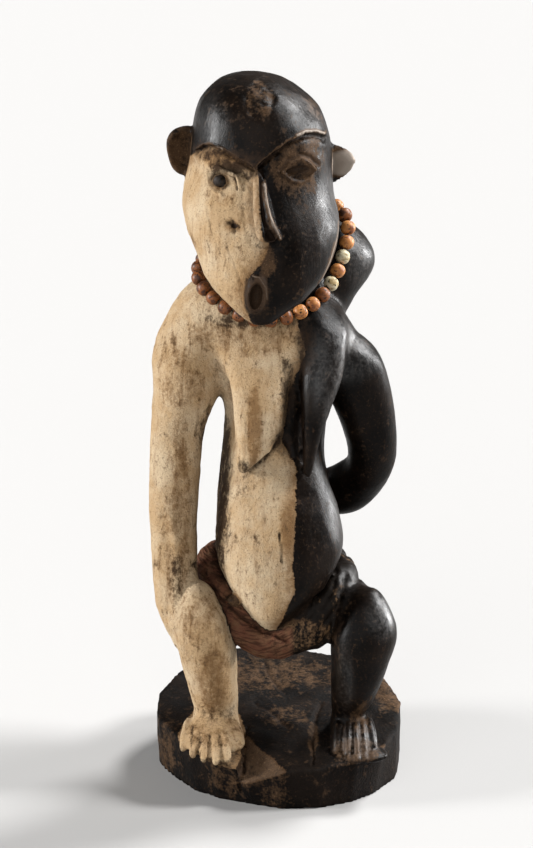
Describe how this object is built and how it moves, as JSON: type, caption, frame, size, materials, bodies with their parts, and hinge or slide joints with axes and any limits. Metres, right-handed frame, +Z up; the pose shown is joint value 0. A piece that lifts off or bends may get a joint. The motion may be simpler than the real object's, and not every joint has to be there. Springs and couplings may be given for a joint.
{
  "type": "carved wooden figure",
  "caption": "Crouching hunchbacked figure carved from a single block with its round base, partly whitened and partly blackened, wearing a string of beads.",
  "frame": {"origin": "middle of the base's flat underside, below the middle of the base", "axes": "+Z up; the figure faces -Y; its right hand is at -X and its left arm at +X"},
  "size_m": [0.1943, 0.197, 0.54],
  "materials": {
    "carved_wood": "satin, half under worn white clay, half blackened and polished by handling",
    "bead_brown": "satin, red-brown seed or nut shell",
    "bead_tan": "satin, tan to orange",
    "bead_cream": "satin, cream with dark specks",
    "thread": "matt twisted fibre"
  },
  "bodies": {
    "root": {"figure": "carved_wood", "bead_01": "bead_brown", "bead_02": "bead_brown", "bead_03": "bead_tan", "bead_04": "bead_tan", "bead_05": "bead_brown", "bead_06": "bead_cream", "bead_07": "bead_tan", "bead_08": "bead_cream", "bead_09": "bead_tan", "bead_10": "bead_tan", "bead_11": "bead_brown", "bead_12": "bead_tan", "bead_13": "bead_cream", "bead_14": "bead_brown", "bead_15": "bead_tan", "bead_16": "bead_brown", "bead_17": "bead_brown", "bead_18": "bead_tan", "bead_19": "bead_brown", "bead_20": "bead_brown", "bead_21": "bead_brown", "bead_22": "bead_brown", "bead_23": "bead_brown", "bead_24": "bead_brown", "bead_25": "bead_brown", "bead_26": "bead_brown", "bead_27": "bead_brown", "bead_28": "bead_brown", "bead_29": "bead_brown", "bead_30": "bead_brown", "bead_string": "thread"}
  },
  "joints": []
}
